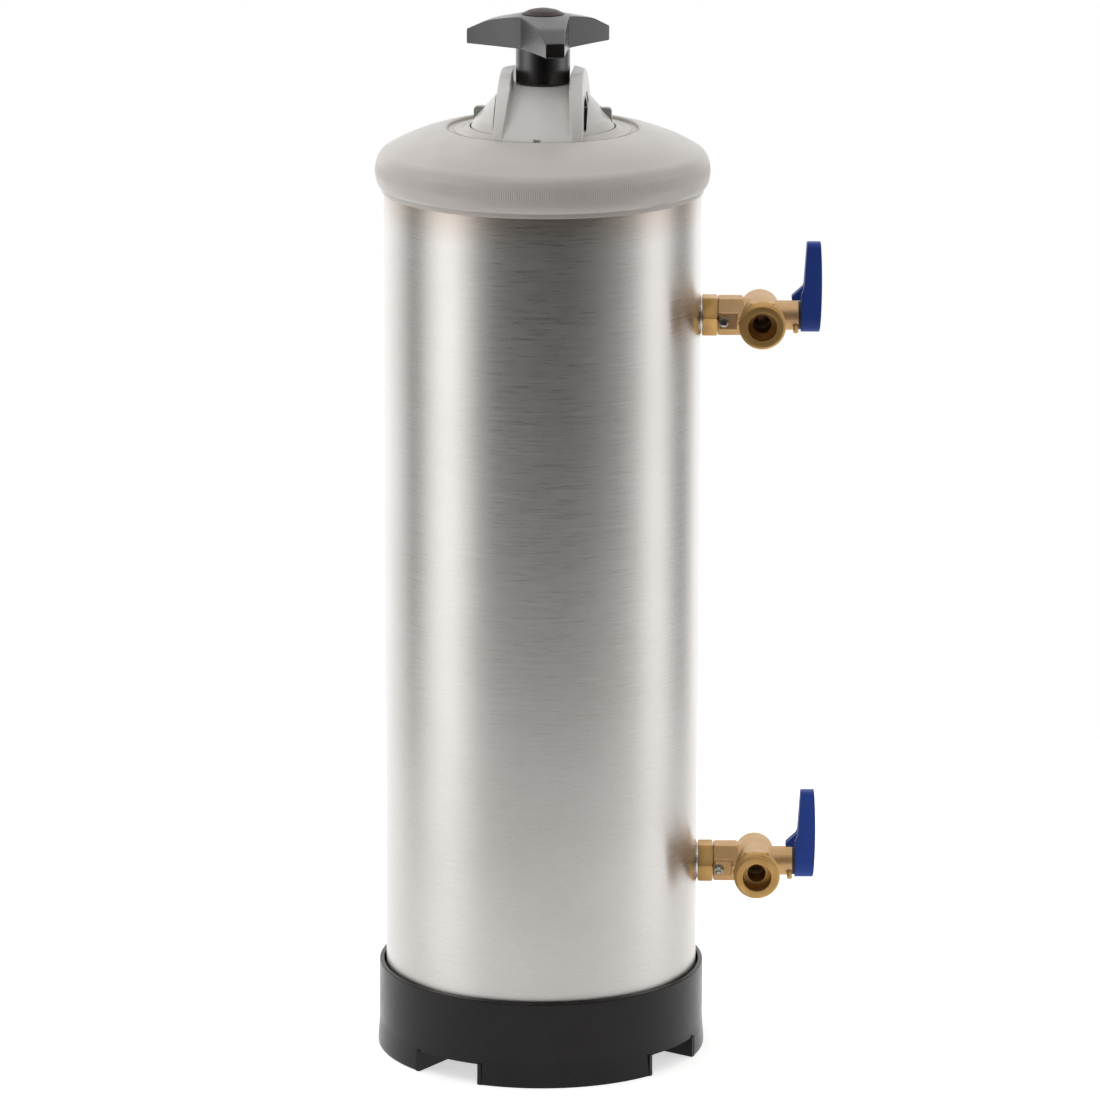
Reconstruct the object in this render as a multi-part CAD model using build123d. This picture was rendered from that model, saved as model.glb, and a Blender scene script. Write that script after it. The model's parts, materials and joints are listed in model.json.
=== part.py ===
from build123d import *
import os

# Manual salt-regenerated water softener: a stainless resin tank on a moulded foot ring,
# with a moulded shoulder collar, a clamped filling mouth and two brass three-way taps.
# Millimetres. +Z up, origin on the floor under the tank axis, the taps stand out along +X
# and their hose ports face -Y, the front.

# ---------------------------------------------------------------- driving dimensions
# Tank
TANK_R = 90.0                # outside radius of the stainless shell
TANK_WALL = 1.5              # sheet thickness of shell and heads
SHELL_BOTTOM = 40.0          # girth weld to the bottom head, hidden in the foot ring
SHELL_TOP = 505.0            # girth weld to the top head, hidden in the collar
DISH_BOTTOM = 15.0           # the dished bottom stands on the foot ring's floor plate
DISH_FLAT_R = 70.0           # flat middle of the dished bottom
RESIN_TOP = 380.0            # level of the resin bed
RESIN_GAP = 0.1              # gap between resin and steel
MOUTH_R = 37.0               # filling mouth
MOUTH_RING_R = 52.0          # outside of the welded mouth ring
MOUTH_RING_Z = (528.6, 534.5)
HEAD_EDGE_Z = 530.2          # the top head's inner edge on the mouth ring
SHOULDER = (85.0, 514.2)     # where the top head's knuckle ends

# Foot ring
FOOT_RIM_Z = 50.0
FOOT_RIM_R = 94.0
FOOT_R = 95.0                # slight flare at the floor
FOOT_WALL_IN_R = 91.3
FLOOR_PLATE_Z = (12.0, 15.0)
NOTCH_WIDTH = 41.0
NOTCH_HEIGHT = 12.0
NOTCH_AZIMUTH = 10.0         # turn of the notches from the 45 degree diagonals
FOOT_RIB = 2.5               # thickness of every rib under the plate
FOOT_INNER_R = 60.0          # inner wall of the four feet
CENTRE_PAD_R = (22.0, 26.0)
CENTRING_RIBS = 8
CENTRING_RIB_TOP = 40.0

# Collar and mouth closure
COLLAR_BOTTOM = 503.0
COLLAR_R = 94.9
RIM_R = 54.0                 # edge of the round well in the collar
WELL_Z = 537.6               # floor of the well
BEAD_Z = 538.3               # raised ring in the well that carries the bridge
INNER_RING_R = 41.4          # edge of the collar round the cone
INNER_RING_Z = 540.2
CONE_SKIRT_R = 40.5          # upright foot of the cone
CONE_BASE_R = 40.3
CONE_BASE_Z = 540.4
CONE_HIP = (38.3, 544.8)     # radius and height where the cone turns less steep
CONE_TOP_R = 26.9
CONE_TOP_Z = 557.2
CONE_WALL = 2.2
CONE_SPIGOT_R = 36.7         # ring that centres the cone in the mouth
BAR_HALF = 39.0              # half length of the cross bar
BAR_Z = (542.4, 550.8)
BAR_THICK = 5.5
BRIDGE_YAW = -3.5            # the bridge stands slightly turned on the collar
BRIDGE_FOOT_R = 53.3
BRIDGE_LEG_IN_R = 46.9       # inside of the feet, clear of the collar's inner ring
BRIDGE_HALF = (25.3, 23.6)   # half width outside, at the feet and at the ear tops
SADDLE_HALF = (20.0, 16.5)   # half width between the ears, at the feet and at the crown
CROWN_Z = 564.4              # seat of the thrust washer
EAR_Z = 571.9                # top of the two ears
ARCH_HALF = 42.5             # half opening between the front and the back leg
ARCH_TOP = (27.2, 557.4)
ARCH_HALF_WIDTH = 16.5       # half width of the hollow under the crown
CONE_CLEARANCE = 0.6         # between the cone and the ears that straddle it
CONE_SLOT_X = (23.8, 26.3)   # slots in the cone beside the two ears
CONE_SLOT_Z = 541.6
WASHER_R = 12.5
WASHER_TOP = 565.5
STUD_R = 6.0
STUD_Z = (506.5, 588.0)
PLUG_R = 44.0
PLUG_Z = (519.5, 525.5)
PLUG_BOSS = (15.0, 531.0)
GASKET_R = (38.0, 43.6)
GASKET_TOP = 528.55

# Knob
KNOB_STEM_R = 15.35
KNOB_BOTTOM = 564.6
LOBE_BOTTOM = 585.0
LOBE_TIP_R = 44.5
LOBE_TIP_Z = 593.4
LOBE_ROOT_Z = 603.6
LOBE_TIP_WIDTH = 10.6
LOBE_ROOT_WIDTH = 24.0
LOBE_AZIMUTH = 9.0           # the front lobe points slightly to the right
CAP_R = 11.75
CAP_Z = (602.4, 606.8)
INSERT_AF = 18.0
INSERT_Z = (566.2, 584.0)

# Taps: positions along +X from the tank axis, sizes about the tap's own axis
TAP_HEIGHTS = {"inlet": 431.1, "outlet": 108.2}
STRAINER_END = {"inlet": 20.0, "outlet": -55.0}
SOCKET_X = (84.0, 95.0)
SOCKET_R = (6.5, 10.4)
STRAINER_R = (6.0, 8.0)
STRAINER_SLOT = 1.2
STRAINER_STEP = 7.0
NUT_AF = 21.5
NUT_X = (90.8, 99.4)
NIPPLE_R = (6.0, 8.1)
FLANGE_R = 9.9
BLOCK_AF = 21.0
BLOCK_X = (99.8, 114.0)
TAP_X = 124.2                # crossing of the tap's two axes
BARREL_R = 11.2
BARREL_Y = (-22.0, 20.0)
WEB_R = 10.2
NECK_R = 8.4
NECK_END = 145.5
CAVITY_R = 8.3
BALL_R = 7.5
BALL_BORE_R = 4.6
SEAT_GAP = 0.05
SEAT_DEPTH = 10.95
PORT_BORE_R = 5.25
PORT_COUNTERBORE_R = 8.2
PORT_HEX_AF = 23.5
PORT_THREAD_R = 13.2         # G 3/4 male thread, 26.4 over the crests
PORT_Y = (11.0, 22.0, 26.0, 36.0)   # spigot, hexagon, thread and face, towards the front
DRAIN_R = (3.0, 4.5)
DRAIN_Y = (13.0, 20.0, 22.5, 38.0)  # thread, collar, tail and end, towards the back
STEM_R = 4.0
STEM_CLEARANCE = 0.05
STEM_FLANGE_R = 5.5
STEM_X = (131.9, 133.4, 146.9, 154.5)
STEM_SQUARE = 5.6
ORING_X = (137.2, 141.2)
ORING_WIDTH = 1.8
ORING_INNER_R = 3.1
DISC_X = (145.5, 146.8)      # black thrust disc between neck and lever
LEVER_X = (147.0, 157.6)
LEVER_BULGE_X = 158.7
LEVER_TOP = 42.3
LEVER_HUB_R = 9.4
LEVER_TIP_WIDTH = 11.0
LEVER_CORNER = 3.5
NUB_HALF = 3.5
STOP_PIN_R = 1.5
STOP_PIN_REACH = (5.2, 12.4)
STOP_PIN_X = 143.9
STOP_PIN_DROP = 38.0         # degrees below the horizontal, so the nub meets it a quarter turn out
SCREW_X = 102.9
SCREW_Z = -1.8
SCREW_HEAD_R = 2.9

FIT_GAP = 0.05               # radial gap between pieces that are screwed or pushed together
UP = (Align.CENTER, Align.CENTER, Align.MIN)


# ---------------------------------------------------------------- small helpers
def rod(radius, start, end):
    """Round bar along +Z."""
    return Pos(0, 0, start) * Cylinder(radius, end - start, align=UP)


def tube(inner, outer, start, end):
    """Round tube along +Z."""
    return rod(outer, start, end) - rod(inner, start, end)


def hexagon(across_flats, start, end):
    """Hexagonal bar along +Z with a corner on +Y and its end corners turned off."""
    corner = across_flats / 3 ** 0.5
    blank = Pos(0, 0, start) * extrude(RegularPolygon(corner, 6, rotation=30), end - start)
    turned = rod(corner, start, end)
    return blank & chamfer(turned.edges().filter_by(GeomType.CIRCLE), (corner - across_flats / 2) * 0.6)


def along_x(shape):
    """Lay a +Z part along +X."""
    return Rot(0, 90, 0) * shape


def to_front(shape):
    """Lay a +Z part along -Y."""
    return Rot(90, 0, 0) * shape


def to_back(shape):
    """Lay a +Z part along +Y."""
    return Rot(-90, 0, 0) * shape


def outline(start, *steps):
    """Closed face in the XZ plane. A step is an end point, or a (middle, end) pair for an arc."""
    here = start
    edges = []
    for step in steps + (start,):
        if isinstance(step[0], tuple):
            middle, end = step
            edges.append(ThreePointArc((here[0], 0, here[1]), (middle[0], 0, middle[1]), (end[0], 0, end[1])))
        else:
            end = step
            edges.append(Line((here[0], 0, here[1]), (end[0], 0, end[1])))
        here = end
    return make_face(edges)


def spin(*points):
    """Solid of revolution about +Z from an outline of (radius, height) points."""
    return revolve(outline(*points), Axis.Z)


def slab(thickness, *points):
    """Plate with an XZ outline, centred on Y = 0."""
    return extrude(outline(*points), thickness / 2, dir=(0, 1, 0), both=True)


# ---------------------------------------------------------------- tank
def base_skirt():
    """Foot ring: skirt, floor plate and four ribbed feet between four notches."""
    skirt = spin(
        (FOOT_WALL_IN_R, 0),
        (FOOT_R, 0),
        (FOOT_R, 3),
        (FOOT_RIM_R, 16),
        (FOOT_RIM_R, FOOT_RIM_Z - 0.8),
        (FOOT_RIM_R - 0.8, FOOT_RIM_Z),
        (FOOT_WALL_IN_R, FOOT_RIM_Z),
    )
    plate = rod(FOOT_WALL_IN_R + 0.5, *FLOOR_PLATE_Z)
    inner_wall = tube(FOOT_INNER_R, FOOT_INNER_R + FOOT_RIB, 0, FLOOR_PLATE_Z[0])
    pad = tube(*CENTRE_PAD_R, 0, FLOOR_PLATE_Z[0])
    foot = skirt + plate + inner_wall + pad
    length = FOOT_WALL_IN_R + 1 - FOOT_INNER_R
    for turn in range(4):
        notch = Pos(FOOT_INNER_R + length / 2 + 4, 0, 0) * Box(length + 10, NOTCH_WIDTH, 2 * NOTCH_HEIGHT)
        walls = Pos(FOOT_INNER_R + length / 2, 0, 0) * Box(
            length, NOTCH_WIDTH + 2 * FOOT_RIB, NOTCH_HEIGHT, align=UP
        )
        place = Rot(0, 0, 45 + NOTCH_AZIMUTH + 90 * turn)
        foot = foot + place * walls - place * notch
    rib_length = FOOT_WALL_IN_R + 0.5 - TANK_R - FIT_GAP
    for turn in range(CENTRING_RIBS):
        rib = Pos(TANK_R + FIT_GAP + rib_length / 2, 0, FLOOR_PLATE_Z[1]) * Box(
            rib_length, FOOT_RIB, CENTRING_RIB_TOP - FLOOR_PLATE_Z[1], align=UP
        )
        foot += Rot(0, 0, 360 / CENTRING_RIBS * turn) * rib
    return foot


def bottom_head():
    """Dished stainless bottom with a rounded knuckle."""
    knuckle = TANK_R - DISH_FLAT_R
    bend = knuckle * (1 - 0.5 ** 0.5)
    inner = knuckle - TANK_WALL
    inner_bend = knuckle - inner * 0.5 ** 0.5
    return spin(
        (0, DISH_BOTTOM),
        (DISH_FLAT_R, DISH_BOTTOM),
        ((TANK_R - bend, DISH_BOTTOM + bend), (TANK_R, DISH_BOTTOM + knuckle)),
        (TANK_R, SHELL_BOTTOM),
        (TANK_R - TANK_WALL, SHELL_BOTTOM),
        (TANK_R - TANK_WALL, DISH_BOTTOM + knuckle),
        ((TANK_R - inner_bend, DISH_BOTTOM + inner_bend), (DISH_FLAT_R, DISH_BOTTOM + TANK_WALL)),
        (0, DISH_BOTTOM + TANK_WALL),
    )


def tank_shell():
    """Rolled stainless cylinder with a hole for each tap socket."""
    shell = tube(TANK_R - TANK_WALL, TANK_R, SHELL_BOTTOM, SHELL_TOP)
    for height in TAP_HEIGHTS.values():
        shell -= Pos(0, 0, height) * along_x(rod(SOCKET_R[1] + FIT_GAP, SOCKET_X[0], SOCKET_X[1]))
    return shell


def top_head():
    """Conical stainless shoulder from the shell to the mouth ring."""
    edge = MOUTH_RING_R + FIT_GAP
    return spin(
        (TANK_R, SHELL_TOP),
        ((88.7, 510.6), SHOULDER),
        (edge + 2, HEAD_EDGE_Z),
        (edge, HEAD_EDGE_Z),
        (edge, HEAD_EDGE_Z - TANK_WALL),
        (edge + 1.6, HEAD_EDGE_Z - TANK_WALL),
        (SHOULDER[0] - 0.7, SHOULDER[1] - 1.4),
        ((87.4, 509.9), (TANK_R - TANK_WALL, SHELL_TOP)),
    )


def mouth_ring():
    """Thick welded ring round the filling mouth; the plug seals against its underside."""
    return tube(MOUTH_R, MOUTH_RING_R, *MOUTH_RING_Z)


def resin_bed():
    """Ion exchange resin, cleared round the lower socket and strainer."""
    radius = TANK_R - TANK_WALL - RESIN_GAP
    floor = DISH_BOTTOM + TANK_WALL + RESIN_GAP
    round_r = radius - DISH_FLAT_R
    bend = round_r * (1 - 0.5 ** 0.5)
    bed = spin(
        (0, floor),
        (DISH_FLAT_R, floor),
        ((radius - bend, floor + bend), (radius, floor + round_r)),
        (radius, RESIN_TOP),
        (0, RESIN_TOP),
    )
    bore = rod(STRAINER_R[1] + RESIN_GAP, STRAINER_END["outlet"] - RESIN_GAP, SOCKET_X[0] + 1)
    pocket = rod(SOCKET_R[1] + RESIN_GAP, SOCKET_X[0] - RESIN_GAP, SOCKET_X[1])
    return bed - Pos(0, 0, TAP_HEIGHTS["outlet"]) * along_x(bore + pocket)


def top_collar():
    """Moulded shoulder cover with a round well for the mouth closure."""
    top = MOUTH_RING_Z[1] + 0.1
    return spin(
        (TANK_R + 0.2, COLLAR_BOTTOM),
        (91.2, COLLAR_BOTTOM),
        (91.2, 505.6),
        (92.6, 506.2),
        ((94.6, 510.0), (COLLAR_R, 514.5)),
        ((94.8, 518.0), (94.2, 520.8)),
        ((92.6, 524.7), (89.0, 527.3)),
        ((73.5, 534.4), (RIM_R + 1.2, WELL_Z + 2.0)),
        (RIM_R + 0.3, WELL_Z + 1.7),
        (RIM_R, WELL_Z),
        (50.4, WELL_Z),
        (50.0, BEAD_Z),
        (46.6, BEAD_Z),
        (46.0, BEAD_Z - 0.3),
        (INNER_RING_R + 1, INNER_RING_Z),
        (INNER_RING_R, INNER_RING_Z - 0.2),
        (INNER_RING_R, top),
        (MOUTH_RING_R, top),
        (55.6, 536.2),
        ((74.0, 531.4), (87.6, 525.0)),
        ((91.0, 522.6), (92.2, 518.0)),
        ((92.4, 513.0), (TANK_R + 0.2, 507.2)),
    )


# ---------------------------------------------------------------- mouth closure
def lid_cone():
    """Cone cover centred in the mouth, slotted for the cross bar."""
    low = MOUTH_RING_Z[1] + 0.1
    inner = CONE_SPIGOT_R - 2
    cone = spin(
        (inner, MOUTH_RING_Z[0] + 1.4),
        (CONE_SPIGOT_R, MOUTH_RING_Z[0] + 1.4),
        (CONE_SPIGOT_R, low),
        (CONE_SKIRT_R, low),
        (CONE_SKIRT_R, CONE_BASE_Z - 0.5),
        (CONE_BASE_R, CONE_BASE_Z),
        CONE_HIP,
        (CONE_TOP_R, CONE_TOP_Z),
        (STUD_R + 0.8, CONE_TOP_Z),
        (STUD_R + 0.8, CONE_TOP_Z - CONE_WALL),
        (CONE_TOP_R - 1.1, CONE_TOP_Z - CONE_WALL),
        (CONE_HIP[0] - CONE_WALL, CONE_HIP[1] - 0.6),
        (inner, CONE_BASE_Z + 1.4),
    )
    slots = Pos(0, 0, BAR_Z[0] - 0.4) * Box(
        2 * BAR_HALF + 4, BAR_THICK + 0.2, BAR_Z[1] - BAR_Z[0] + 0.6, align=UP
    )
    width = CONE_SLOT_X[1] - CONE_SLOT_X[0]
    for side in (-1, 1):
        middle = side * (CONE_SLOT_X[0] + width / 2)
        slots += Pos(middle, 0, CONE_SLOT_Z) * Box(width, 2 * CONE_BASE_R, CONE_TOP_Z, align=UP)
    return cone - Rot(0, 0, BRIDGE_YAW) * slots


def cross_bar():
    """Bar through the cone with an eye that guides the stud."""
    low, high = BAR_Z
    bar = slab(
        BAR_THICK,
        (-BAR_HALF, low),
        (BAR_HALF, low),
        (BAR_HALF, high - 2),
        ((BAR_HALF - 0.6, high - 0.6), (BAR_HALF - 2, high)),
        (2 - BAR_HALF, high),
        ((0.6 - BAR_HALF, high - 0.6), (-BAR_HALF, high - 2)),
    )
    eye = rod(STUD_R + 4, low, high)
    return Rot(0, 0, BRIDGE_YAW) * (bar + eye - rod(STUD_R + 0.4, low, high))


def bridge():
    """Domed clamp bridge: two legs, a crown for the knob and an ear on each side of it."""
    foot = BEAD_Z + FIT_GAP
    above = EAR_Z + 5
    crown_r = KNOB_STEM_R + 1
    dome = spin(
        (0, foot),
        (BRIDGE_FOOT_R, foot),
        ((42.6, 559.0), (BRIDGE_HALF[1] - 0.2, EAR_Z)),
        (0, EAR_Z),
    )
    sides = slab(
        4 * BRIDGE_FOOT_R,
        (-BRIDGE_HALF[0], foot),
        (BRIDGE_HALF[0], foot),
        (BRIDGE_HALF[1], EAR_Z),
        (-BRIDGE_HALF[1], EAR_Z),
    )
    saddle_air = spin(
        (0, CROWN_Z),
        (crown_r, CROWN_Z),
        ((39.8, 554.2), (BRIDGE_FOOT_R, foot + 0.6)),
        (BRIDGE_FOOT_R + 1, foot + 0.6),
        (BRIDGE_FOOT_R + 1, above),
        (0, above),
    )
    between = slab(
        4 * BRIDGE_FOOT_R,
        (-SADDLE_HALF[0], foot - 1),
        (SADDLE_HALF[0], foot - 1),
        (SADDLE_HALF[1], CROWN_Z),
        (SADDLE_HALF[1], above),
        (-SADDLE_HALF[1], above),
        (-SADDLE_HALF[1], CROWN_Z),
    )
    hollow = extrude(
        Plane.YZ * make_face(Polyline(
            (-ARCH_HALF, foot - 1),
            (-ARCH_HALF, foot + 1.8),
            (-ARCH_TOP[0], ARCH_TOP[1]),
            (ARCH_TOP[0], ARCH_TOP[1]),
            (ARCH_HALF, foot + 1.8),
            (ARCH_HALF, foot - 1),
            close=True,
        )),
        ARCH_HALF_WIDTH,
        both=True,
    )
    cone_room = spin(
        (0, foot - 1),
        (BRIDGE_LEG_IN_R, foot - 1),
        (BRIDGE_LEG_IN_R, BEAD_Z + 0.6),
        (CONE_BASE_R + 2, CONE_BASE_Z + 1),
        (CONE_HIP[0] + 2 * CONE_CLEARANCE, CONE_HIP[1] + CONE_CLEARANCE),
        (CONE_TOP_R + CONE_CLEARANCE, CONE_TOP_Z + CONE_CLEARANCE),
        (0, CONE_TOP_Z + CONE_CLEARANCE),
    )
    body = (dome & sides) - (saddle_air & between) - hollow - cone_room
    body -= rod(STUD_R + 0.4, foot, CROWN_Z + 1)
    return Rot(0, 0, BRIDGE_YAW) * body


def thrust_washer():
    return tube(STUD_R + 0.4, WASHER_R, CROWN_Z, WASHER_TOP)


def plug():
    """Inner closing plug with a groove for its gasket and a boss for the stud."""
    body = rod(PLUG_R, *PLUG_Z) + rod(PLUG_BOSS[0], PLUG_Z[1], PLUG_BOSS[1])
    lip = tube(GASKET_R[0] - 2, GASKET_R[0] - FIT_GAP, PLUG_Z[1], PLUG_Z[1] + 1.6)
    return body + lip - rod(STUD_R + FIT_GAP, PLUG_Z[0], PLUG_BOSS[1])


def plug_gasket():
    return tube(*GASKET_R, PLUG_Z[1], GASKET_TOP)


def plug_stud():
    stud = rod(STUD_R, *STUD_Z)
    return chamfer(stud.edges().group_by(Axis.Z)[-1], 1.2)


def stud_nuts():
    """A nut on each side of the plug."""
    bore = rod(STUD_R + FIT_GAP, STUD_Z[0], CONE_BASE_Z)
    lower = hexagon(18, STUD_Z[0] + 1.5, PLUG_Z[0] - 1.6)
    upper = hexagon(18, PLUG_BOSS[1], PLUG_BOSS[1] + 7)
    return (lower - bore) + (upper - bore)


def stud_washer():
    return tube(STUD_R + FIT_GAP, 12, PLUG_Z[0] - 1.6, PLUG_Z[0])


# ---------------------------------------------------------------- knob
def knob():
    """Three-lobed hand knob with a long stem."""
    crown = spin(
        (0, LOBE_BOTTOM),
        (LOBE_TIP_R, LOBE_BOTTOM),
        (LOBE_TIP_R, LOBE_TIP_Z),
        ((30.5, 600.2), (CAP_R + 0.8, LOBE_ROOT_Z)),
        (0, LOBE_ROOT_Z),
    )
    half_root = LOBE_ROOT_WIDTH / 2
    half_tip = LOBE_TIP_WIDTH / 2
    lobe = make_face(Polyline(
        (0, -half_root), (KNOB_STEM_R, -half_root), (LOBE_TIP_R + 1, -half_tip),
        (LOBE_TIP_R + 1, half_tip), (KNOB_STEM_R, half_root), (0, half_root), close=True,
    ))
    plan = Circle(KNOB_STEM_R + 0.6)
    for turn in range(3):
        plan += Rot(0, 0, LOBE_AZIMUTH - 90 + 120 * turn) * lobe
    star = Pos(0, 0, LOBE_BOTTOM - 1) * extrude(plan, LOBE_ROOT_Z - LOBE_BOTTOM + 2)
    body = (crown & star) + rod(KNOB_STEM_R, KNOB_BOTTOM, LOBE_BOTTOM + 1)
    corner_clear = FIT_GAP + INSERT_AF / 3 ** 0.5
    body -= rod(corner_clear, INSERT_Z[0], INSERT_Z[1] + FIT_GAP)
    body -= rod(STUD_R + 0.6, KNOB_BOTTOM, STUD_Z[1] + 4)
    body -= rod(WASHER_R + 2 * FIT_GAP, KNOB_BOTTOM, WASHER_TOP + FIT_GAP)
    return body - rod(CAP_R + FIT_GAP, CAP_Z[0], LOBE_ROOT_Z + 1)


def knob_insert():
    """Threaded brass insert moulded into the stem."""
    return hexagon(INSERT_AF, *INSERT_Z) - rod(STUD_R + FIT_GAP, *INSERT_Z)


def knob_cap():
    """Slightly domed cap on top of the knob."""
    low, high = CAP_Z
    edge = low + 1.4
    rise = high - edge
    dome_r = (CAP_R ** 2 + rise ** 2) / (2 * rise)
    disc = rod(CAP_R, low, high)
    return disc & Pos(0, 0, high - dome_r) * Sphere(dome_r)


# ---------------------------------------------------------------- taps
def socket():
    """Threaded stub welded through the tank wall."""
    return along_x(tube(*SOCKET_R, *SOCKET_X))


def strainer(end):
    """Slotted tube inside the tank, closed at its far end."""
    start = SOCKET_X[0]
    body = rod(STRAINER_R[1], end, start) - rod(STRAINER_R[0], end + 2, start)
    body += tube(STRAINER_R[0] - 0.8, SOCKET_R[0] - 0.1, start - 1.5, start + 6)
    body = along_x(body)
    slots = int((start - end - 12) / STRAINER_STEP)
    for index in range(slots):
        place = end + 8 + index * STRAINER_STEP
        body -= Pos(place, 0, 0) * Box(STRAINER_SLOT, 3 * STRAINER_R[1], STRAINER_R[1])
    return body


def union_nut():
    """Hexagonal union nut: it pulls the tap's tail flange onto the socket."""
    nut = hexagon(NUT_AF, *NUT_X)
    nut -= rod(SOCKET_R[1] + FIT_GAP, NUT_X[0], NUT_X[1] - 1.4)
    return along_x(nut - rod(NIPPLE_R[1] + 0.2, *NUT_X))


def tail_gasket():
    return along_x(tube(SOCKET_R[0], FLANGE_R, SOCKET_X[1], SOCKET_X[1] + 1.3))


def tail_nipple():
    start = SOCKET_X[1] + 1.3
    flange = tube(NIPPLE_R[0], FLANGE_R, start, NUT_X[1] - 1.4 - FIT_GAP)
    return along_x(flange + tube(*NIPPLE_R, start, BLOCK_X[0] + 6))


def tap_body():
    """Brass body: hexagonal inlet block, round barrel and the neck that carries the stem."""
    body = along_x(hexagon(BLOCK_AF, *BLOCK_X) + rod(WEB_R, BLOCK_X[1] - 2, TAP_X))
    body += along_x(rod(NECK_R, TAP_X, NECK_END))
    body += Pos(TAP_X, 0, 0) * to_front(rod(BARREL_R, -BARREL_Y[1], -BARREL_Y[0]))
    body += Pos(BLOCK_X[0] + 5.8, -9.3, SCREW_Z + 0.3) * Box(9.6, 6.6, 9.4)
    body -= along_x(rod(NIPPLE_R[1] + FIT_GAP, BLOCK_X[0], BLOCK_X[0] + 6.2))
    body -= along_x(rod(5.5, BLOCK_X[0], TAP_X))
    body -= along_x(rod(CAVITY_R - FIT_GAP, TAP_X - SEAT_DEPTH - FIT_GAP, TAP_X))
    body -= Pos(TAP_X, 0, 0) * to_front(rod(CAVITY_R, -SEAT_DEPTH - 0.1, -BARREL_Y[0]))
    body -= Pos(TAP_X, 0, 0) * to_back(rod(3.5, 0, DRAIN_Y[0]) + rod(5.95, DRAIN_Y[0], DRAIN_Y[1]))
    body -= along_x(rod(STEM_FLANGE_R + 0.1, TAP_X, STEM_X[1] + FIT_GAP))
    body -= along_x(rod(STEM_R + STEM_CLEARANCE, TAP_X, NECK_END))
    body -= Pos(SCREW_X, -9, SCREW_Z) * to_front(rod(1.65, 0, 6))
    for pin in stop_pin_rods(STOP_PIN_R):
        body -= pin
    return body


def stop_pin_rods(radius):
    """Two radial rods low on the neck, one in front and one behind."""
    rods = []
    for side in (1, -1):
        rods.append(Pos(STOP_PIN_X, 0, 0) * Rot(side * (90 + STOP_PIN_DROP), 0, 0) * rod(radius, *STOP_PIN_REACH))
    return rods


def stop_pins():
    """Pins that the lever's nub meets a quarter turn to each side."""
    front, back = stop_pin_rods(STOP_PIN_R - 0.02)
    return front + back


def seat_ring():
    """Mitred ring with a spherical face for the ball."""
    inner = BALL_BORE_R
    outer = CAVITY_R - 0.1
    blank = spin(
        (inner, inner + 0.2),
        (outer, outer + 0.2),
        (outer, SEAT_DEPTH),
        (inner, SEAT_DEPTH),
    )
    return blank - Sphere(BALL_R + SEAT_GAP)


def seats():
    """Front, back and tank side seats of the ball."""
    tank_side = Rot(0, -90, 0) * seat_ring()
    return Pos(TAP_X, 0, 0) * (to_front(seat_ring()) + to_back(seat_ring()) + tank_side)


def ball():
    """Ball with an angled way through it: always open to the tank, shut to both ports at rest."""
    body = Sphere(BALL_R)
    body -= Rot(0, -90, 0) * rod(BALL_BORE_R, 0, 2 * BALL_R)
    body -= Rot(180, 0, 0) * rod(BALL_BORE_R, 0, 2 * BALL_R)
    body -= Sphere(BALL_BORE_R)
    body -= Pos(BALL_R, 0, 0) * Box(3.4, 3.1, 4 * BALL_R)
    return Pos(TAP_X, 0, 0) * body


def stem():
    """Stem with a tongue for the ball, two seal grooves and a square for the lever."""
    flange_x, shaft_x, square_x, end_x = STEM_X
    shaft = rod(STEM_FLANGE_R, flange_x, shaft_x) + rod(STEM_R, shaft_x, square_x)
    for groove in ORING_X:
        shaft -= tube(ORING_INNER_R, STEM_R + 1, groove, groove + ORING_WIDTH)
    shaft += Pos(0, 0, square_x) * Box(STEM_SQUARE, STEM_SQUARE, end_x - square_x, align=UP)
    shaft -= rod(1.65, square_x + 1, end_x)
    tongue = Pos(flange_x - 0.9, 0, 0) * Box(1.8, 3.0, 8.0)
    return along_x(shaft) + tongue


def stem_seals():
    """Two O-rings, drawn as the square rings that fill their grooves."""
    rings = None
    for groove in ORING_X:
        ring = along_x(tube(ORING_INNER_R, STEM_R + 0.02, groove + 0.05, groove + ORING_WIDTH - 0.05))
        rings = ring if rings is None else rings + ring
    return rings


def neck_disc():
    return along_x(tube(STEM_R + 0.1, NECK_R - 0.3, *DISC_X))


def lever():
    """Lever with a bulged outer face and a nub towards the tank."""
    near, far = LEVER_X
    side = slab(
        4 * LEVER_HUB_R,
        (near, -LEVER_HUB_R),
        (far, -LEVER_HUB_R),
        ((LEVER_BULGE_X, 20), (far + 0.3, LEVER_TOP)),
        (near + 3.1, LEVER_TOP),
        (near + 1.6, 17.5),
        (near, 13.0),
    )
    half_tip = LEVER_TIP_WIDTH / 2
    blade = make_face(Polyline(
        (-LEVER_HUB_R * 0.96, 2), (LEVER_HUB_R * 0.96, 2),
        (half_tip, LEVER_TOP), (-half_tip, LEVER_TOP), close=True,
    ))
    tip_corners = blade.vertices().group_by(Axis.Y)[-1]
    front = fillet(tip_corners, LEVER_CORNER) + Circle(LEVER_HUB_R)
    thickness = LEVER_BULGE_X - near + 2
    face = Pos(near - 1, 0, 0) * extrude(Plane.YZ * front, thickness)
    nub = slab(2 * NUB_HALF, (near + 1.6, 17.5), (near + 1.6, 9.0), (141.7, 9.0), (141.7, 11.2))
    body = (side & face) + nub
    square = STEM_SQUARE + 2 * FIT_GAP
    body -= Pos(near, 0, 0) * Rot(0, 90, 0) * Box(square, square, STEM_X[3] - near + 0.1, align=UP)
    return body - along_x(rod(2.1, near, far + 2) + rod(4.2, far - 1.2, far + 2))


def lever_screw():
    start = LEVER_X[1] - 1.2
    return along_x(rod(1.6, STEM_X[2] + 1.2, start) + rod(3.9, start, start + 1.9))


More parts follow.
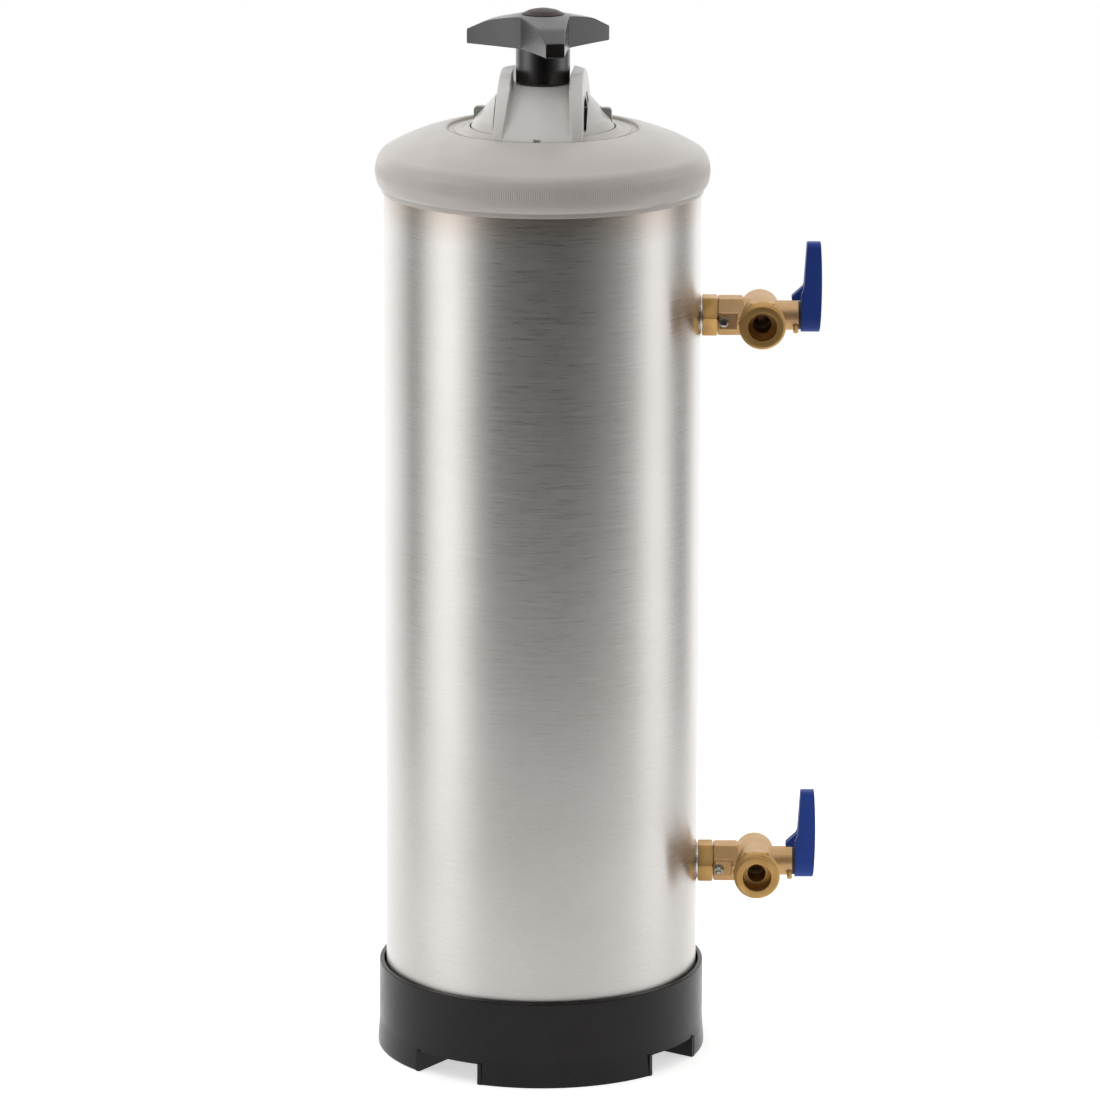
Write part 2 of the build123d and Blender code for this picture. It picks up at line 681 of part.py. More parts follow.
def set_screw():
    """Cross-head screw on the block's front boss."""
    face = 12.6
    head = to_front(rod(SCREW_HEAD_R, face, face + 1.0) + rod(1.6, 9.2, face))
    cross = Pos(0, -face - 1, 0) * (Box(3.6, 1.2, 0.8) + Box(0.8, 1.2, 3.6))
    return Pos(SCREW_X, 0, SCREW_Z) * (head - cross)


def port_nipple():
    """Screwed-in hose port: hexagon and G 3/4 male thread, drawn at its crests."""
    spigot, hex_start, thread_start, face = PORT_Y
    flat_up = Rot(0, 0, 30) * hexagon(PORT_HEX_AF, hex_start, thread_start)
    body = rod(CAVITY_R - FIT_GAP, spigot, hex_start) + flat_up
    body += rod(PORT_THREAD_R, thread_start, face)
    body -= rod(PORT_BORE_R, spigot, face) + rod(PORT_COUNTERBORE_R, thread_start, face)
    return Pos(TAP_X, 0, 0) * to_front(body)


def drain_tail():
    """Small hose tail at the back for the regeneration waste."""
    thread, collar, tail, end = DRAIN_Y
    body = rod(5.9, thread, collar) + rod(6.5, collar, tail) + rod(DRAIN_R[1], tail, end)
    return Pos(TAP_X, 0, 0) * to_back(body - rod(DRAIN_R[0], thread, end))


def tap_parts(name):
    """Every piece of one tap, at the height of its socket."""
    pieces = {
        "socket": socket(),
        "strainer": strainer(STRAINER_END[name]),
        "union_nut": union_nut(),
        "tail_gasket": tail_gasket(),
        "tail_nipple": tail_nipple(),
        "tap_body": tap_body(),
        "port_nipple": port_nipple(),
        "drain_tail": drain_tail(),
        "ball_seats": seats(),
        "ball": ball(),
        "stem": stem(),
        "stem_seals": stem_seals(),
        "neck_disc": neck_disc(),
        "stop_pins": stop_pins(),
        "set_screw": set_screw(),
        "lever": lever(),
        "lever_screw": lever_screw(),
    }
    lift = Pos(0, 0, TAP_HEIGHTS[name])
    return {f"{name}_{key}": lift * shape for key, shape in pieces.items()}


# ---------------------------------------------------------------- assembly
def build_parts():
    parts = {
        "base_skirt": base_skirt(),
        "bottom_head": bottom_head(),
        "tank_shell": tank_shell(),
        "top_head": top_head(),
        "mouth_ring": mouth_ring(),
        "resin_bed": resin_bed(),
        "top_collar": top_collar(),
        "lid_cone": lid_cone(),
        "cross_bar": cross_bar(),
        "bridge": bridge(),
        "thrust_washer": thrust_washer(),
        "plug": plug(),
        "plug_gasket": plug_gasket(),
        "plug_stud": plug_stud(),
        "stud_nuts": stud_nuts(),
        "stud_washer": stud_washer(),
        "knob": knob(),
        "knob_insert": knob_insert(),
        "knob_cap": knob_cap(),
    }
    for name in TAP_HEIGHTS:
        parts.update(tap_parts(name))
    return parts


os.makedirs("parts", exist_ok=True)
for node, shape in build_parts().items():
    export_step(shape, f"parts/{node}.step")
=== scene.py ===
"""Looks of the manual water softener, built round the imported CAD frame."""
import json
import math

import bmesh
import bpy
from mathutils import Matrix, Vector

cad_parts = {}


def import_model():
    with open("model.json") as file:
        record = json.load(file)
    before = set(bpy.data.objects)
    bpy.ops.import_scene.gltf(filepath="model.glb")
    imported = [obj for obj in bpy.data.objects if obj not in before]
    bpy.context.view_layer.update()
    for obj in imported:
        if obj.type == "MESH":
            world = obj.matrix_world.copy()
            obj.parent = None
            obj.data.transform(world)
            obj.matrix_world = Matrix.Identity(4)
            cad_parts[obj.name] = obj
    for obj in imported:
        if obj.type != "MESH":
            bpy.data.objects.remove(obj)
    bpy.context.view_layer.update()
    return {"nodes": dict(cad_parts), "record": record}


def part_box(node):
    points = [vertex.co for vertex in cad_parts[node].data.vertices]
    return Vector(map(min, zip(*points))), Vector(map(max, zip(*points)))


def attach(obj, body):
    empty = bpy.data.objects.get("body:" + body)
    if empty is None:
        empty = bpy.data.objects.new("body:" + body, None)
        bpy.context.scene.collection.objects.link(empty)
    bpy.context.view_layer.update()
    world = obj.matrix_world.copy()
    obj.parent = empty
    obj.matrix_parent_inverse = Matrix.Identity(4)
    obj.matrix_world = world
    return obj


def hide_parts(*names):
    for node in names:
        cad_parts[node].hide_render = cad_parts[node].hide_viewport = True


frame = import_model()
MM = 0.001
TAPS = ("inlet", "outlet")
NOTCH_HALF = 20.5              # half width of the notches between the feet
TINT_BAND = (484.0, 504.0)     # heights of the faint brown tint below the collar
RIB_COUNT = 470.0              # fine upright ribs round the collar's waist
RIB_BAND = (513.0, 521.0)
SHELL_WALL = 1.5
SOCKET_HOLE_R = 10.45          # hole in the shell for a tap's socket, and bore of the union nut
BRIDGE_TURN = Matrix.Rotation(math.radians(-3.5), 4, "Z")
LOBE_HEADING = -81.0           # the front lobe points slightly to the right
TAP_X = 124.2                  # where the two axes of a tap cross
THREAD_PITCH = 25.4 / 14       # 14 threads to the inch
FLOOR_RADIUS = 760
AROUND = (                     # light tent: azimuth from the front in degrees, brightness
    (-180, 1.20), (-150, 1.42), (-132, 1.25), (-120, 0.88), (-110, 0.46), (-101, 0.62), (-90, 1.25),
    (-78, 1.74), (-68, 1.72), (-57, 1.12), (-46, 0.46), (-34, 0.16), (-18, 0.05), (0, 0.02),
    (18, 0.03), (36, 0.11), (58, 0.36), (72, 0.74), (82, 1.30), (92, 1.56), (101, 1.35), (114, 0.66),
    (125, 0.52), (136, 0.90), (150, 1.40), (180, 1.20),
)
OVERHEAD = 1.1                 # brightness of the tent's top
SLOTS = {part["node"]: part["material_slot"] for part in frame["record"]["subparts"]}
BODIES = frame["record"]["behaviour"]["bodies"]
BODY_OF = {node: body for body, nodes in BODIES.items() for node in nodes}


def millimetres(node):
    """Lowest and highest corner of a CAD node at rest, in millimetres."""
    low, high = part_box(node)
    return Vector(low) / MM, Vector(high) / MM


def srgb(red, green, blue):
    """Linear colour from 0-255 screen values."""
    def linear(value):
        value /= 255
        return value / 12.92 if value <= 0.04045 else ((value + 0.055) / 1.055) ** 2.4
    return linear(red), linear(green), linear(blue), 1.0


# ---------------------------------------------------------------- mesh helpers (millimetres)
def new_object(name, verts, faces):
    """Object from points in millimetres; its mesh is stored in metres."""
    mesh = bpy.data.meshes.new(name)
    mesh.from_pydata([(x * MM, y * MM, z * MM) for x, y, z in verts], [], faces)
    mesh.validate()
    thing = bpy.data.objects.new(name, mesh)
    bpy.context.scene.collection.objects.link(thing)
    tidy_normals(thing)
    return thing


def tidy_normals(thing, sharp_angle=32):
    """Outward normals, smooth faces, and sharp edges where faces turn by more than the angle."""
    bm = bmesh.new()
    bm.from_mesh(thing.data)
    bmesh.ops.remove_doubles(bm, verts=bm.verts, dist=1e-7)
    bmesh.ops.recalc_face_normals(bm, faces=bm.faces)
    limit = math.radians(sharp_angle)
    for face in bm.faces:
        face.smooth = True
    for edge in bm.edges:
        edge.smooth = len(edge.link_faces) == 2 and edge.calc_face_angle(0) < limit
    bm.to_mesh(thing.data)
    bm.free()


def apply_modifiers(thing):
    """Replace the mesh by what its modifiers make of it."""
    graph = bpy.context.evaluated_depsgraph_get()
    result = bpy.data.meshes.new_from_object(thing.evaluated_get(graph))
    old = thing.data
    thing.modifiers.clear()
    thing.data = result
    bpy.data.meshes.remove(old)


def combine(thing, tool, operation):
    """Boolean with a tool object, which is used up."""
    step = thing.modifiers.new("combine", "BOOLEAN")
    step.object = tool
    step.operation = operation
    step.solver = "EXACT"
    apply_modifiers(thing)
    bpy.data.objects.remove(tool)
    return thing


def cut(thing, tool):
    return combine(thing, tool, "DIFFERENCE")


def add(thing, tool):
    return combine(thing, tool, "UNION")


def keep(thing, tool):
    return combine(thing, tool, "INTERSECT")


def soften(thing, voxel, passes, ratio=1.0):
    """Round every edge as casting or moulding does: remesh finely, smooth, then thin the mesh."""
    remesh = thing.modifiers.new("remesh", "REMESH")
    remesh.mode = "VOXEL"
    remesh.voxel_size = voxel * MM
    smooth = thing.modifiers.new("smooth", "SMOOTH")
    smooth.factor = 0.5
    smooth.iterations = passes
    if ratio < 1:
        thin = thing.modifiers.new("thin", "DECIMATE")
        thin.ratio = ratio
    apply_modifiers(thing)
    tidy_normals(thing, 60)
    return thing


def rounded(corners, steps=6):
    """Closed outline of (radius, height, fillet) corners with each fillet as an arc."""
    points = []
    count = len(corners)
    for index, corner in enumerate(corners):
        here = Vector(corner[:2])
        fillet = corner[2] if len(corner) > 2 else 0
        before = Vector(corners[index - 1][:2]) - here
        after = Vector(corners[(index + 1) % count][:2]) - here
        if fillet <= 0:
            points.append(tuple(here))
            continue
        half = before.angle(after) / 2
        reach = min(fillet / math.tan(half), before.length * 0.49, after.length * 0.49)
        start = here + before.normalized() * reach
        end = here + after.normalized() * reach
        for step in range(steps + 1):
            share = step / steps
            first = start.lerp(here, share)
            points.append(tuple(first.lerp(here.lerp(end, share), share)))
    return points


def curve(points, steps=6):
    """Open smooth curve through the points (Catmull-Rom)."""
    knots = [Vector(point) for point in points]
    knots = [2 * knots[0] - knots[1]] + knots + [2 * knots[-1] - knots[-2]]
    smooth = []
    for before, start, end, after in zip(knots, knots[1:], knots[2:], knots[3:]):
        for step in range(steps):
            share = step / steps
            bend = (2 * before - 5 * start + 4 * end - after) * share ** 2
            turn = (3 * start - before - 3 * end + after) * share ** 3
            smooth.append(tuple((2 * start + (end - before) * share + bend + turn) / 2))
    return smooth + [tuple(points[-1])]


def lathe(name, outline, segments=192):
    """Revolve a closed outline of (radius, height) points about Z."""
    verts = []
    rings = []
    for radius, height in outline:
        if radius < 1e-6:
            rings.append([len(verts)] * segments)
            verts.append((0, 0, height))
            continue
        rings.append(list(range(len(verts), len(verts) + segments)))
        for step in range(segments):
            angle = 2 * math.pi * step / segments
            verts.append((radius * math.cos(angle), radius * math.sin(angle), height))
    faces = []
    for index, ring in enumerate(rings):
        following = rings[(index + 1) % len(rings)]
        for step in range(segments):
            turn = (step + 1) % segments
            corners = [ring[step], ring[turn], following[turn], following[step]]
            unique = list(dict.fromkeys(corners))
            if len(unique) > 2:
                faces.append(unique)
    return new_object(name, verts, faces)


def prism(name, outline, low, high):
    """Upright prism over a closed XY outline."""
    count = len(outline)
    verts = [(x, y, low) for x, y in outline] + [(x, y, high) for x, y in outline]
    faces = [list(range(count))[::-1], list(range(count, 2 * count))]
    for index in range(count):
        turn = (index + 1) % count
        faces.append([index, turn, count + turn, count + index])
    return new_object(name, verts, faces)


def block(name, low, high):
    """Axis-aligned box between two corners."""
    outline = [(low[0], low[1]), (high[0], low[1]), (high[0], high[1]), (low[0], high[1])]
    return prism(name, outline, low[2], high[2])


def hex_bar(name, across_flats, low, high, chamfer):
    """Hexagonal bar with a corner on +Y, its ends turned off at 30 degrees like a nut."""
    corner = across_flats / math.sqrt(3)
    headings = [math.radians(60 * side) for side in range(6)]
    outline = [(corner * math.sin(heading), corner * math.cos(heading)) for heading in headings]
    bar = prism(name, outline, low, high)
    drop = chamfer * 0.58
    turned = lathe("turned", [
        (0, low), (corner - chamfer, low), (corner + 0.1, low + drop),
        (corner + 0.1, high - drop), (corner - chamfer, high), (0, high),
    ])
    keep(bar, turned)
    bevel = bar.modifiers.new("bevel", "BEVEL")
    bevel.width = 0.18 * MM
    bevel.segments = 2
    bevel.angle_limit = math.radians(28)
    apply_modifiers(bar)
    return bar


def thread(name, bore, crest, pitch, low, high, segments=144, rows_per_pitch=14):
    """Closed threaded sleeve: helical rounded crests outside, a plain bore inside."""
    depth = pitch * 0.58
    rows = int((high - low) / pitch * rows_per_pitch)
    verts = []
    for row in range(rows + 1):
        height = low + (high - low) * row / rows
        edge = min(height - low, high - height)
        fade = min(1.0, edge / (pitch * 0.7))
        for step in range(segments):
            share = step / segments
            phase = (height / pitch - share) % 1.0
            wave = 0.5 - 0.5 * math.cos(2 * math.pi * phase)
            radius = crest - depth * (1 - wave ** 0.8 * fade)
            angle = 2 * math.pi * share
            verts.append((radius * math.cos(angle), radius * math.sin(angle), height))
    faces = []
    for row in range(rows):
        for step in range(segments):
            turn = (step + 1) % segments
            a, b = row * segments, (row + 1) * segments
            faces.append([a + step, a + turn, b + turn, b + step])
    inner = len(verts)
    for height in (low, high):
        for step in range(segments):
            angle = 2 * math.pi * step / segments
            verts.append((bore * math.cos(angle), bore * math.sin(angle), height))
    last = rows * segments
    for step in range(segments):
        turn = (step + 1) % segments
        faces.append([turn, step, inner + step, inner + turn])
        faces.append([last + step, last + turn, inner + segments + turn, inner + segments + step])
        faces.append([inner + step, inner + segments + step, inner + segments + turn, inner + turn])
    return new_object(name, verts, faces)


def copy_of(node, name):
    """New object with a copy of a CAD node's mesh."""
    source = frame["nodes"][node]
    thing = bpy.data.objects.new(name, source.data.copy())
    bpy.context.scene.collection.objects.link(thing)
    thing.data.materials.clear()
    tidy_normals(thing)
    return thing


def move(thing, matrix):
    """Transform a mesh in place; the matrix works in millimetres."""
    in_metres = matrix.copy()
    in_metres.translation = matrix.translation * MM
    thing.data.transform(in_metres)
    tidy_normals(thing)
    return thing


TO_FRONT = Matrix.Rotation(math.radians(90), 4, "X")
TO_BACK = Matrix.Rotation(math.radians(-90), 4, "X")
TO_RIGHT = Matrix.Rotation(math.radians(90), 4, "Y")


# ---------------------------------------------------------------- materials
class Nodes:
    """Short calls for building a node tree."""

    def __init__(self, tree):
        self.tree = tree

    def give(self, socket, value):
        """Link another socket, or set a constant."""
        if isinstance(value, bpy.types.NodeSocket):
            self.tree.links.new(value, socket)
        else:
            socket.default_value = value

    def node(self, kind, **inputs):
        made = self.tree.nodes.new(kind)
        for name, value in inputs.items():
            self.give(made.inputs[name.replace("_", " ")], value)
        return made

    def math(self, operation, first, second=0.0):
        made = self.tree.nodes.new("ShaderNodeMath")
        made.operation = operation
        for socket, value in zip(made.inputs, (first, second)):
            self.give(socket, value)
        return made.outputs[0]

    def span(self, value, low, high, start=0.3, end=0.7):
        """Map a texture value between start and end to a range."""
        limits = {"From_Min": start, "From_Max": end, "To_Min": low, "To_Max": high}
        return self.node("ShaderNodeMapRange", Value=value, **limits).outputs["Result"]

    def mix(self, share, first, second):
        """Mix two numbers."""
        made = self.tree.nodes.new("ShaderNodeMix")
        for socket, value in zip((made.inputs[0], made.inputs[2], made.inputs[3]), (share, first, second)):
            self.give(socket, value)
        return made.outputs[0]


class Shader(Nodes):
    """A material's node tree."""

    def __init__(self, name, **constants):
        self.material = bpy.data.materials.new(name)
        self.material.use_nodes = True
        super().__init__(self.material.node_tree)
        self.surface = self.tree.nodes["Principled BSDF"]
        for socket, value in constants.items():
            self.surface.inputs[socket.replace("_", " ")].default_value = value
        self.place = self.tree.nodes.new("ShaderNodeTexCoord").outputs["Object"]

    def noise(self, scale, detail=3.0, roughness=0.55, stretch=(1, 1, 1)):
        place = self.node("ShaderNodeMapping", Vector=self.place, Scale=stretch).outputs["Vector"]
        made = self.node("ShaderNodeTexNoise", Vector=place, Scale=scale, Detail=detail, Roughness=roughness)
        return made.outputs["Fac"]

    def blend(self, share, first, second, mode="MIX"):
        """Mix two colours."""
        made = self.tree.nodes.new("ShaderNodeMix")
        made.data_type = "RGBA"
        made.blend_type = mode
        for socket, value in zip((made.inputs[0], made.inputs[6], made.inputs[7]), (share, first, second)):
            self.give(socket, value)
        return made.outputs[2]

    def colour(self, output):
        self.tree.links.new(output, self.surface.inputs["Base Color"])

    def roughness(self, output):
        self.tree.links.new(output, self.surface.inputs["Roughness"])

    def bump(self, height, strength, distance, under=None):
        """Bump whose distance is in millimetres; a second bump may lie under it."""
        made = self.node("ShaderNodeBump", Height=height, Strength=strength, Distance=distance * MM)
        if under:
            self.tree.links.new(under, made.inputs["Normal"])
        self.tree.links.new(made.outputs["Normal"], self.surface.inputs["Normal"])
        return made.outputs["Normal"]


def brushed_steel(name, light, dark, stretch=(12, 12, 900)):
    """Stainless steel brushed round the tank: fine hairlines, a few longer scratches, faint clouds."""
    shader = Shader(name, Metallic=1.0, Anisotropic=0.85, Anisotropic_Rotation=0.25)
    hair = shader.noise(5.0, 3.0, 0.6, stretch)
    line = shader.noise(1.5, 2.0, 0.5, stretch)
    cloud = shader.noise(14.0, 4.0, 0.6)
    both = shader.math("ADD", shader.math("MULTIPLY", hair, 0.8), shader.math("MULTIPLY", line, 0.2))
    shade = shader.blend(shader.span(both, 0.0, 1.0, 0.3, 0.7), dark, light)
    faint = shader.span(cloud, 0.0, 0.22, 0.4, 0.75)
    clouded = shader.blend(faint, shade, srgb(222, 217, 211), "MULTIPLY")
    height = shader.node("ShaderNodeSeparateXYZ", Vector=shader.place).outputs["Z"]
    tint = shader.span(height, 0.0, 0.5, TINT_BAND[0] * MM, TINT_BAND[1] * MM)
    shader.colour(shader.blend(tint, clouded, srgb(206, 180, 152), "MULTIPLY"))
    shader.roughness(shader.span(both, 0.24, 0.36))
    shader.bump(both, 0.12, 0.01)
    tangent = shader.tree.nodes.new("ShaderNodeTangent")
    tangent.direction_type = "RADIAL"
    tangent.axis = "Z"
    shader.tree.links.new(tangent.outputs["Tangent"], shader.surface.inputs["Tangent"])
    return shader


def moulded(name, colour, deep, gloss, grain=1400, grain_depth=0.03, specular=0.5):
    """Moulded plastic: fine spark-eroded grain, faint flow clouds and uneven gloss."""
    shader = Shader(name, Specular_IOR_Level=specular)
    cloud = shader.noise(24.0, 3.0)
    fine = shader.noise(grain, 2.0, 0.6)
    shader.colour(shader.blend(shader.span(cloud, 0.0, 1.0), deep, colour))
    shader.roughness(shader.span(shader.noise(60.0, 4.0), gloss - 0.05, gloss + 0.06))
    shader.bump(fine, 0.5, grain_depth)
    return shader


def cast_brass(name):
    """Tumbled cast brass: faint pinkish and golden clouds, a sandy skin, fine darker specks."""
    shader = Shader(name, Metallic=1.0)
    cloud = shader.noise(60.0, 3.0)
    speck = shader.noise(1500.0, 2.0, 0.5)
    gold = shader.blend(shader.span(cloud, 0.0, 1.0, 0.35, 0.65), srgb(196, 158, 106), srgb(204, 172, 134))
    shader.colour(shader.blend(shader.span(speck, 0.0, 0.22, 0.45, 0.8), gold, srgb(150, 116, 76)))
    shader.roughness(shader.span(speck, 0.48, 0.58))
    skin = shader.bump(shader.noise(420.0, 3.0), 0.25, 0.05)
    shader.bump(speck, 0.4, 0.015, skin)
    return shader


def turned_brass(name):
    """Machined brass with faint tool marks and handling tarnish."""
    shader = Shader(name, Metallic=1.0)
    cloud = shader.noise(90.0, 4.0)
    marks = shader.noise(2200.0, 2.0, 0.6)
    gold = shader.blend(shader.span(cloud, 0.0, 1.0, 0.35, 0.7), srgb(204, 164, 104), srgb(186, 148, 92))
    shader.colour(shader.blend(shader.span(marks, 0.0, 0.25, 0.45, 0.8), gold, srgb(140, 104, 60)))
    shader.roughness(shader.span(cloud, 0.42, 0.54))
    shader.bump(marks, 0.3, 0.012)
    return shader


def plain_metal(name, colour, deep, gloss):
    """Small bright metal parts with fine scratches."""
    shader = Shader(name, Metallic=1.0)
    scratch = shader.noise(700.0, 3.0, 0.7, (1, 0.2, 1))
    shader.colour(shader.blend(shader.span(scratch, 0.0, 1.0), deep, colour))
    shader.roughness(shader.span(scratch, gloss, gloss + 0.12))
    shader.bump(scratch, 0.25, 0.01)
    return shader


def collar_shader():
    """Light grey moulding with a narrow band of fine upright ribs at its waist."""
    shader = moulded("collar_plastic", srgb(193, 187, 182), srgb(186, 180, 175), 0.36, 1100, 0.012)
    parts = shader.node("ShaderNodeSeparateXYZ", Vector=shader.place)
    angle = shader.math("ARCTAN2", parts.outputs["Y"], parts.outputs["X"])
    ribs = shader.math("SINE", shader.math("MULTIPLY", angle, RIB_COUNT))
    height = parts.outputs["Z"]
    above = shader.span(height, 0.0, 1.0, RIB_BAND[0] * MM, (RIB_BAND[0] + 1.5) * MM)
    below = shader.span(height, 1.0, 0.0, (RIB_BAND[1] - 1.5) * MM, RIB_BAND[1] * MM)
    masked = shader.math("MULTIPLY", ribs, shader.math("MULTIPLY", above, below))
    grain = shader.surface.inputs["Normal"].links[0].from_socket
    shader.bump(masked, 0.6, 0.16, grain)
    return shader


shell_steel = brushed_steel("shell_steel", srgb(204, 201, 198), srgb(190, 187, 184))
weld_steel = plain_metal("weld_steel", srgb(146, 122, 98), srgb(104, 84, 66), 0.4)
bright_steel = brushed_steel("bright_steel", srgb(214, 212, 208), srgb(196, 194, 190), (60, 60, 60))
collar_plastic = collar_shader()
MATERIALS = {
    "shell_steel": shell_steel,
    "bright_steel": bright_steel,
    "screw_steel": plain_metal("screw_steel", srgb(184, 180, 174), srgb(136, 132, 126), 0.26),
    "ball_chrome": plain_metal("ball_chrome", srgb(230, 230, 232), srgb(214, 214, 218), 0.08),
    "skirt_plastic": moulded(
        "skirt_plastic", srgb(20, 16, 15), srgb(14, 11, 10), 0.26, 900, 0.04, specular=0.24,
    ),
    "collar_plastic": collar_plastic,
    "bridge_plastic": moulded("bridge_plastic", srgb(216, 213, 209), srgb(209, 206, 202), 0.34, 1200, 0.02),
    "bar_plastic": moulded("bar_plastic", srgb(156, 152, 147), srgb(146, 142, 137), 0.32, 1200, 0.02),
    "knob_plastic": moulded(
        "knob_plastic", srgb(24, 18, 15), srgb(19, 14, 12), 0.26, 1000, 0.02, specular=0.95,
    ),
    "cap_plastic": moulded("cap_plastic", srgb(56, 44, 37), srgb(48, 38, 31), 0.36, 1200, 0.02, specular=0.2),
    "cast_brass": cast_brass("cast_brass"),
    "turned_brass": turned_brass("turned_brass"),
    "lever_plastic": moulded(
        "lever_plastic", srgb(46, 72, 152), srgb(40, 63, 138), 0.5, 1300, 0.02, specular=0.12,
    ),
    "seal_rubber": moulded("seal_rubber", srgb(30, 29, 29), srgb(22, 21, 21), 0.6, 800, 0.05),
    "white_plastic": moulded("white_plastic", srgb(226, 224, 216), srgb(214, 212, 203), 0.4),
    "resin": moulded("resin", srgb(176, 122, 56), srgb(118, 74, 30), 0.5, 620, 0.4),
}


def finish_piece(thing, slot, body, *nodes):
    """Give a piece its material and its body, and hide the CAD nodes that it stands for."""
    thing.data.materials.clear()
    thing.data.materials.append(MATERIALS[slot].material)
    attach(thing, body)
    if nodes:
        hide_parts(*nodes)
    return thing


for node, thing in frame["nodes"].items():
    thing.data.materials.clear()
    thing.data.materials.append(MATERIALS[SLOTS[node]].material)


# ---------------------------------------------------------------- tank
def tap_height(tap):
    """Height of a tap's axis."""
    low, high = millimetres(f"{tap}_union_nut")
    return (low.z + high.z) / 2


def tank_skin():
    """Shell at full roundness, open for the sockets, which pass through its wall."""
    low, high = millimetres("tank_shell")
    outer = high.x
    inner = outer - SHELL_WALL
    shell = lathe("tank_skin", [(outer, low.z), (outer, high.z), (inner, high.z), (inner, low.z)], 320)
    for tap in TAPS:
        axis = tap_height(tap)
        hole = lathe("hole", [(0, 70), (SOCKET_HOLE_R, 70), (SOCKET_HOLE_R, 100), (0, 100)], 64)
        move(hole, TO_RIGHT)
        cut(shell, move(hole, Matrix.Translation((0, 0, axis))))
    tidy_normals(shell)
    return finish_piece(shell, "shell_steel", "tank", "tank_shell")


def weld_beads():
    """Rippled, heat-tinted weld round each socket."""
    outer = millimetres("tank_shell")[1].x
    for tap in TAPS:
        axis = tap_height(tap)
        verts = []
        faces = []
        around = 120
        across = 8
        for step in range(around):
            angle = 2 * math.pi * step / around
            ripple = 0.08 * math.sin(angle * 30)
            for part in range(across):
                swing = 2 * math.pi * part / across
                radius = 10.35 + (0.3 + ripple) * math.cos(swing)
                y = radius * math.cos(angle)
                z = radius * math.sin(angle)
                x = math.sqrt(outer ** 2 - y ** 2) + (0.3 + ripple) * math.sin(swing) - 0.05
                verts.append((x, y, axis + z))
                turn = ((step + 1) % around) * across
                along = (part + 1) % across
                faces.append([step * across + part, turn + part, turn + along, step * across + along])
        bead = new_object(f"{tap}_socket_weld", verts, faces)
        finish_piece(bead, "bright_steel", "tank")
        bead.data.materials[0] = weld_steel.material


tank_skin()
weld_beads()


def collar():
    """Shoulder cover with a soft dome, a tight waist and the ringed well."""
    low, high = millimetres("top_collar")
    edge = high.x - 0.02
    bottom = low.z
    lip = rounded([
        (90.25, bottom, 0.2), (91.2, bottom, 0.35), (91.2, bottom + 2.6, 0.1), (92.5, bottom + 3.2),
    ])
    waist = curve([
        (92.5, bottom + 3.2), (93.6, bottom + 4.7), (94.5, bottom + 7.4), (edge, 514.4), (94.7, 518.0),
        (93.9, 521.2), (92.4, 524.2), (90.4, 526.2), (87.4, 527.9), (81.6, 531.0), (74.0, 534.2),
        (65.0, 537.3), (55.8, 539.55),
    ])
    well = rounded([
        (54.9, 539.7, 0.5), (54.0, 539.0, 0.5), (53.9, 537.6, 0.3), (50.6, 537.6, 0.25), (50.2, 538.28, 0.3),
        (46.6, 538.28, 0.3), (46.0, 538.0, 0.3), (42.5, 540.15, 0.4), (41.4, 540.0, 0.3),
        (41.4, 534.65), (52.0, 534.65),
    ])
    inside = [(55.6, 536.2), (74.0, 531.4), (87.6, 525.0), (91.0, 522.0), (92.2, 517.0), (92.2, 512.5),
              (90.25, 507.2)]
    cover = lathe("collar", lip[:-1] + waist + well + inside, 320)
    return finish_piece(cover, "collar_plastic", "tank", "top_collar")


def foot_ring():
    """Moulded foot ring with rounded rim, floor plate, ribbed feet and four notches."""
    top = millimetres("base_skirt")[1].z
    skirt = lathe("foot_ring", rounded([
        (91.3, 0), (94.9, 0, 0.5), (94.85, 3.2, 2), (94.0, 15, 4), (94.0, top, 0.9),
        (91.3, top, 0.5), (91.3, 15), (0, 15), (0, 12), (22, 12), (22, 0, 0.4), (26, 0, 0.4),
        (26, 12), (60, 12), (60, 0, 0.4), (62.5, 0, 0.4), (62.5, 12), (91.3, 12),
    ]), 256)
    for turn in range(4):
        place = Matrix.Rotation(math.radians(55 + 90 * turn), 4, "Z")
        for side in (-1, 1):
            sides = sorted((NOTCH_HALF * side, (NOTCH_HALF + 2.5) * side))
            wall = block("rib", (61.0, sides[0], 0), (92.5, sides[1], 12.5))
            add(skirt, move(wall, place))
        notch = block("notch", (59.5, -NOTCH_HALF, -1), (100, NOTCH_HALF, 12))
        cut(skirt, move(notch, place))
    bevel = skirt.modifiers.new("bevel", "BEVEL")
    bevel.width = 0.35 * MM
    bevel.segments = 2
    bevel.angle_limit = math.radians(50)
    apply_modifiers(skirt)
    tidy_normals(skirt)
    return finish_piece(skirt, "skirt_plastic", "tank", "base_skirt")


collar()
foot_ring()


# ---------------------------------------------------------------- mouth closure
def cone():
    """Cone cover with a crisp base edge, slotted for the cross bar."""
    shell = lathe("cone", rounded([
        (34.7, 530.0), (36.7, 530.0, 0.3), (36.7, 534.65), (40.5, 534.65), (40.5, 539.9, 0.3),
        (40.3, 540.4, 0.2), (38.3, 544.8, 3), (26.9, 557.2, 0.6), (6.8, 557.2), (6.8, 555.0),
        (25.8, 555.0), (36.1, 544.2), (34.7, 541.8),
    ]), 256)
    slot = block("slot", (-41, -2.9, 542.0), (41, 2.9, 551.2))
    cut(shell, move(slot, BRIDGE_TURN))
    for start, end in ((-26.3, -23.8), (23.8, 26.3)):
        cut(shell, move(block("slot", (start, -40, 541.6), (end, 40, 560)), BRIDGE_TURN))
    tidy_normals(shell)
    return finish_piece(shell, "bridge_plastic", "bridge", "lid_cone")


